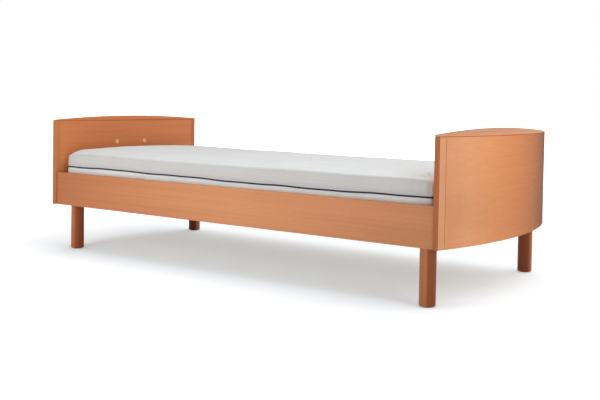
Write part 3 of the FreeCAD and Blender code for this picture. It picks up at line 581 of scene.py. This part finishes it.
BORDER_DEPTH = 0.03
TOP_DEPTH = 0.05
END_SWELL = 0.004
FOLD_LEAN = 0.10
FOLD_START = 0.02
FOLD_MARGIN = 0.004
FOLD_RIDGE = 0.7
# Waves and ripples of the top: their height, the size of their features and the seed of their noise.
TOP_WAVES = ((0.0020, 0.34, 3.0), (0.0014, 0.11, 8.0))
FAR_RISE = 0.004
HEAD_START = -0.45
HEAD_REACH = 0.4
HEAD_CROWN = 0.012
CROWN_Y = -0.08
CROWN_WIDTH = 0.28
FAR_FALL = 0.008
FALL_START = 0.2
FALL_REACH = 0.25
FAR_DIP = 0.004
DIP_X = 0.17
DIP_WIDTH = 0.14
DIP_REACH = 0.4
CORNER_SINK = 0.004
CORNER_REACH = (0.12, 0.06)
# How far the underside is freed from the slats at each hinge.
RELIEF = (("back", 0.011), ("foot", 0.004))
RELIEF_WIDTH = 0.08


def mattress_box():
    """Lowest and highest corner of all the CAD mattress solids."""
    corners = [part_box(node) for node in HEAD_NODES + FOOT_NODES]
    low = Vector(min(c[0][k] for c in corners) for k in range(3))
    high = Vector(max(c[1][k] for c in corners) for k in range(3))
    return low, high


def rounded_ring(low, high, inset, radius, steps=12):
    """The points of a rectangle with round corners, moved in by an inset, from the middle of the -Y side."""
    points = [((low.x + high.x) / 2, low.y + inset)]
    for quarter, (sx, sy) in enumerate(((1, -1), (1, 1), (-1, 1), (-1, -1))):
        corner_x = (high.x if sx > 0 else low.x) - sx * radius
        corner_y = (high.y if sy > 0 else low.y) - sy * radius
        for step in range(steps + 1):
            angle = (quarter - 1 + step / steps) * math.pi / 2
            reach = radius - inset
            points.append((corner_x + reach * math.cos(angle), corner_y + reach * math.sin(angle)))
    return points


def quarter_turn(steps=6):
    """Angles over a right angle."""
    return [i / steps * math.pi / 2 for i in range(steps + 1)]


def mattress_profile(low, high):
    """Insets and heights of the side, from the underside round to the top."""
    turn = [(math.sin(a), math.cos(a)) for a in quarter_turn()]
    lower = [(BASE_ROUND * (1 - sine), low.z + BASE_ROUND * (1 - cosine)) for sine, cosine in turn]
    upper = [(TOP_ROUND * (1 - cosine), high.z - TOP_ROUND * (1 - sine)) for sine, cosine in turn]
    return lower + upper


def new_piece(name, mesh):
    """An object in the scene from a bmesh, which it frees."""
    data = bpy.data.meshes.new(name)
    mesh.to_mesh(data)
    mesh.free()
    piece = bpy.data.objects.new(name, data)
    scene.collection.objects.link(piece)
    return piece


def mattress_start(low, high):
    """The closed shape that the cloth starts from."""
    mesh = bmesh.new()
    rings = []
    for inset, height in mattress_profile(low, high):
        points = rounded_ring(low, high, inset, CORNER_ROUND)
        rings.append([mesh.verts.new((x, y, height)) for x, y in points])
    for below, above in zip(rings, rings[1:]):
        count = len(below)
        for i in range(count):
            mesh.faces.new((below[i], below[(i + 1) % count], above[(i + 1) % count], above[i]))
    mesh.faces.new(list(reversed(rings[0])))
    mesh.faces.new(rings[-1])
    return new_piece("mattress_start", mesh)


def apply_modifiers(piece):
    """Bakes a piece's modifiers into its mesh."""
    evaluated = piece.evaluated_get(bpy.context.evaluated_depsgraph_get())
    made = bpy.data.meshes.new_from_object(evaluated)
    piece.modifiers.clear()
    piece.data = made


def remesh(piece, size):
    """Even small quads all over a closed piece."""
    modifier = piece.modifiers.new("remesh", "REMESH")
    modifier.mode = "VOXEL"
    modifier.voxel_size = size
    apply_modifiers(piece)


def points_of(piece):
    """A piece's vertices as an array."""
    flat = np.zeros(len(piece.data.vertices) * 3)
    piece.data.vertices.foreach_get("co", flat)
    return flat.reshape(-1, 3)


def set_points(piece, points):
    """Moves a piece's vertices."""
    piece.data.vertices.foreach_set("co", points.ravel())
    piece.data.update()


def piping_height(x, y, low):
    """The height of the wandering piping at a place round the mattress."""
    slow = PIPING_WAVE * np.cos(2 * math.pi * (x - WAVE_CREST) / WAVE_LENGTH)
    ripple = sum(size * np.sin(by_x * x + by_y * y + start) for size, by_x, by_y, start in PIPING_RIPPLES)
    return low.z + PIPING_HEIGHT + slow + ripple


def held_points(points, low):
    """How firmly each point is held: the underside by the slats, and the line of the piping."""
    under = points[:, 2] < low.z + 0.004
    off_line = np.abs(points[:, 2] - piping_height(points[:, 0], points[:, 1], low))
    return np.where(under, 1.0, np.clip(1.4 - off_line / SEAM_WIDTH, 0, 1))


def simulate(piece, held):
    """Blows a closed cover up a little, with some spare cloth in it, and keeps the result."""
    group = piece.vertex_groups.new(name="held")
    for level in (0.25, 0.5, 0.75, 1.0):
        chosen = np.where((held > level - 0.25) & (held <= level))[0]
        group.add([int(i) for i in chosen], level, "REPLACE")
    cloth = piece.modifiers.new("cloth", "CLOTH")
    settings = cloth.settings
    settings.quality = 4
    settings.mass = 0.3
    settings.tension_stiffness = 12
    settings.compression_stiffness = 12
    settings.shear_stiffness = 4
    settings.bending_stiffness = 0.4
    settings.vertex_group_mass = "held"
    settings.shrink_min = -SLACK
    settings.use_pressure = True
    settings.uniform_pressure_force = PRESSURE
    settings.effector_weights.gravity = 0
    cloth.point_cache.frame_start = 1
    cloth.point_cache.frame_end = FRAMES
    for moment in range(1, FRAMES + 1):
        scene.frame_set(moment)
    apply_modifiers(piece)
    scene.frame_set(1)


def capped(before, after, cap):
    """Points moved from before towards after, never further than a cap."""
    move = after - before
    length = np.linalg.norm(move, axis=1, keepdims=True)
    return before + move * (cap * np.tanh(length / cap) / np.maximum(length, 1e-9))


def propped(before, after, low, high):
    """Swollen points, kept by the foam inside from being drawn in or down."""
    move = after - before
    out = outward(before, low, high)[0]
    level = np.sum(move[:, :2] * out, axis=1)
    move[:, :2] += out * (np.maximum(level, DRAWN_IN * level) - level)[:, None]
    move[:, 2] = np.maximum(move[:, 2], DRAWN_IN * move[:, 2])
    return before + move


def swell(piece, low, high):
    """Pads out the cover by simulation."""
    before = points_of(piece)
    simulate(piece, held_points(before, low))
    after = propped(before, points_of(piece), low, high)
    set_points(piece, capped(before, after, SWELL_CAP))


def bell(distance, width):
    """A smooth hump: 1 at no distance, falling to nothing past about twice the width."""
    return np.exp(-((distance / width) ** 2))


def outward(points, low, high):
    """The level direction out of the mattress at each point, and how far in from the side it is."""
    inner_low = np.array(low)[:2] + CORNER_ROUND
    inner_high = np.array(high)[:2] - CORNER_ROUND
    nearest = np.clip(points[:, :2], inner_low, inner_high)
    away = points[:, :2] - nearest
    reach = np.linalg.norm(away, axis=1)
    return away / np.maximum(reach, 1e-6)[:, None], CORNER_ROUND - reach


def rolling(points, size, seed):
    """Smooth noise over the mattress, -1 to 1, with features of a size."""
    return np.array([noise.noise(Vector((p[0] / size, p[1] / size, p[2] / size + seed))) for p in points])


# Soft upright folds in the border: side of the bed, place along X, width and depth.
PUCKERS = (
    (-1, 0.985, 0.016, 0.0060),
    (-1, 0.905, 0.013, 0.0030),
    (-1, 0.800, 0.012, 0.0042),
    (-1, 0.560, 0.014, 0.0030),
    (-1, 0.300, 0.012, 0.0018),
    (-1, -0.120, 0.014, 0.0016),
    (-1, -0.700, 0.012, 0.0020),
    (1, 0.960, 0.015, 0.0045),
    (1, 0.620, 0.014, 0.0030),
    (1, -0.250, 0.014, 0.0022),
    (1, -0.860, 0.013, 0.0035),
)


def drawn_in(points, low, high):
    """How far each point of the border is drawn in: the seam and the folds, less the head end's swell."""
    out, inset = outward(points, low, high)
    side = np.clip(1 - inset / BORDER_DEPTH, 0, 1)
    off_line = points[:, 2] - piping_height(points[:, 0], points[:, 1], low)
    pull = SEAM_DEPTH * bell(off_line, SEAM_WIDTH) * side
    below_top = high.z + FOLD_MARGIN - points[:, 2]
    upper = np.clip(off_line / FOLD_START, 0, 1) * np.clip(below_top / BORDER_DEPTH, 0, 1)
    lean = FOLD_LEAN * (points[:, 2] - low.z)
    for way, x, width, depth in PUCKERS:
        on_side = side * (points[:, 1] * way > 0) * (np.abs(out[:, 1]) > 0.5)
        along = points[:, 0] - x - lean
        fold = bell(along, width) - FOLD_RIDGE * bell(along - 1.8 * width, width)
        pull = pull + depth * fold * upper * on_side
    pull = pull - END_SWELL * np.clip(-out[:, 0], 0, 1) * side
    return out * pull[:, None]


def top_rise(points, low, high):
    """How far each point of the top is raised: gentle waves, a crowned head end, sunken corners."""
    x, y = points[:, 0], points[:, 1]
    waves, ripples = TOP_WAVES
    rise = waves[0] * rolling(points, *waves[1:]) + ripples[0] * rolling(points, *ripples[1:])
    rise = rise + FAR_RISE * np.clip(0.5 + y / 0.6, 0, 1) * np.clip(0.7 - x, 0, 1)
    crown = HEAD_CROWN * bell(y - CROWN_Y, CROWN_WIDTH)
    crown = crown - FAR_FALL * np.clip((y - FALL_START) / FALL_REACH, 0, 1)
    rise = rise + np.clip((HEAD_START - x) / HEAD_REACH, 0, 1) * crown
    rise = rise - FAR_DIP * bell(x - DIP_X, DIP_WIDTH) * np.clip(y / DIP_REACH, 0, 1)
    from_end = np.minimum(x - low.x, high.x - x)
    from_side = np.minimum(y - low.y, high.y - y)
    return rise - CORNER_SINK * bell(from_end, CORNER_REACH[0]) * bell(from_side, CORNER_REACH[1])


def sew(piece, low, high):
    """Draws the border in, makes the top uneven and frees the underside at the hinges."""
    points = points_of(piece)
    points[:, :2] -= drawn_in(points, low, high)
    top = np.clip((points[:, 2] - high.z + TOP_DEPTH) / TOP_DEPTH, 0, 1)
    points[:, 2] += top * top_rise(points, low, high)
    relief = sum(depth * bell(points[:, 0] - hinge_x(section), RELIEF_WIDTH) for section, depth in RELIEF)
    under = np.clip((low.z + BORDER_DEPTH - points[:, 2]) / BORDER_DEPTH, 0, 1)
    points[:, 2] += under * relief
    points[:, 2] = np.maximum(points[:, 2], low.z)
    set_points(piece, points)


def smooth_all(piece):
    """Shades every face of a piece smoothly."""
    piece.data.polygons.foreach_set("use_smooth", [True] * len(piece.data.polygons))


def subdivide(piece):
    """Rounds a piece off with one level of subdivision."""
    modifier = piece.modifiers.new("round", "SUBSURF")
    modifier.levels = 1
    apply_modifiers(piece)


def split_at(piece, x, keep_low, name):
    """A closed copy of the part of a piece on one side of a plane across X."""
    mesh = bmesh.new()
    mesh.from_mesh(piece.data)
    geometry = mesh.verts[:] + mesh.edges[:] + mesh.faces[:]
    plane = {"plane_co": (x, 0, 0), "plane_no": (1, 0, 0)}
    cut = bmesh.ops.bisect_plane(mesh, geom=geometry, clear_outer=keep_low, clear_inner=not keep_low, **plane)
    edges = [e for e in cut["geom_cut"] if isinstance(e, bmesh.types.BMEdge)]
    bmesh.ops.holes_fill(mesh, edges=edges, sides=0)
    bmesh.ops.recalc_face_normals(mesh, faces=mesh.faces)
    for face in mesh.faces:
        face.smooth = True
    for edge in edges:
        edge.smooth = False
    return new_piece(name, mesh)


def piping_route(whole, low, high):
    """Points of the piping on the cover's surface, all round from the middle of the -Y side."""
    corners = [v.co for v in whole.data.vertices]
    tree = BVHTree.FromPolygons(corners, [p.vertices for p in whole.data.polygons])
    ring = even_steps(rounded_ring(low, high, 0, CORNER_ROUND), PIPING_STEP)
    route = []
    for x, y, way in ring:
        height = float(piping_height(x, y, low))
        start = Vector((x, y, height)) + way * PIPING_SEARCH
        hit = tree.ray_cast(start, -way)[0]
        route.append((hit - way * (PIPING_SUNK - PIPING_RADIUS / 2), way))
    return route


def even_steps(ring, step):
    """Points at even steps along a closed outline, each with its outward direction."""
    outline = [Vector((x, y, 0)) for x, y in ring]
    outline.append(outline[0])
    made = []
    carried = 0.0
    for a, b in zip(outline, outline[1:]):
        length = (b - a).length
        if length < 1e-9:
            continue
        way = Vector(((b - a).y, -(b - a).x, 0)).normalized()
        while carried < length:
            place = a.lerp(b, carried / length)
            made.append((place.x, place.y, way))
            carried += step
        carried -= length
    return made


def make_tube(name, route, radius, sides=8):
    """A closed round tube along points that each have a direction across the route."""
    mesh = bmesh.new()
    rings = []
    for i, (centre, across) in enumerate(route):
        before, after = route[max(i - 1, 0)][0], route[min(i + 1, len(route) - 1)][0]
        ahead = (after - before).normalized()
        up = ahead.cross(across).normalized()
        level = up.cross(ahead)
        angles = [2 * math.pi * k / sides for k in range(sides)]
        around = [math.cos(a) * level + math.sin(a) * up for a in angles]
        rings.append([mesh.verts.new(centre + radius * spoke) for spoke in around])
    for one, other in zip(rings, rings[1:]):
        for k in range(sides):
            mesh.faces.new((one[k], one[(k + 1) % sides], other[(k + 1) % sides], other[k]))
    mesh.faces.new(list(reversed(rings[0])))
    mesh.faces.new(rings[-1])
    bmesh.ops.recalc_face_normals(mesh, faces=mesh.faces)
    return new_piece(name, mesh)


def make_piping(whole, low, high):
    """The piping, in the same two lengths as the mattress."""
    route = piping_route(whole, low, high)
    count = len(route)
    crosses = [route[i - 1][0].x < CUT_X <= route[i][0].x and route[i][0].y < 0 for i in range(count)]
    start = crosses.index(True)
    route = route[start:] + route[:start]
    turn = next(i for i in range(count) if route[i][0].x < CUT_X)
    braid = make_braid("piping_braid")
    for section, part in (("foot", route[: turn + 1]), ("head", route[turn:] + route[:1])):
        tube = make_tube(f"mattress_piping_{section}", part, PIPING_RADIUS)
        smooth_all(tube)
        tube.data.materials.append(braid)
        bend(tube)


def make_mattress():
    """The foam mattress, in two lengths that meet unseen at mid seat."""
    low, high = mattress_box()
    start_low = Vector((low.x + START_SIDE, low.y + START_SIDE, low.z))
    start_high = Vector((high.x - START_SIDE, high.y - START_SIDE, high.z - START_TOP))
    whole = mattress_start(start_low, start_high)
    remesh(whole, VOXEL)
    swell(whole, low, high)
    subdivide(whole)
    sew(whole, low, high)
    height = whole.data.attributes.new("height", "FLOAT", "POINT")
    height.data.foreach_set("value", points_of(whole)[:, 2])
    head_half = split_at(whole, CUT_X, True, "mattress_head_half")
    foot_half = split_at(whole, CUT_X, False, "mattress_foot_half")
    make_piping(whole, low, high)
    bpy.data.objects.remove(whole)
    knit = make_knit("mattress_knit")
    for half, section in ((head_half, "back"), (foot_half, "foot")):
        half.data.materials.append(knit)
        bend(half)
    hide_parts(*HEAD_NODES)
    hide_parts(*FOOT_NODES)


def hinge_x(section):
    """The place along X of a section's hinge."""
    joint = next(j for j in frame["joints"] if j["name"] == f"{section}_tilt")
    return joint["pos_m"][0]


def bend(piece):
    """Bakes a piece's placement into its mesh."""
    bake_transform(piece)


make_camera()
make_floor()
make_light()
paint_nodes()
make_mattress()
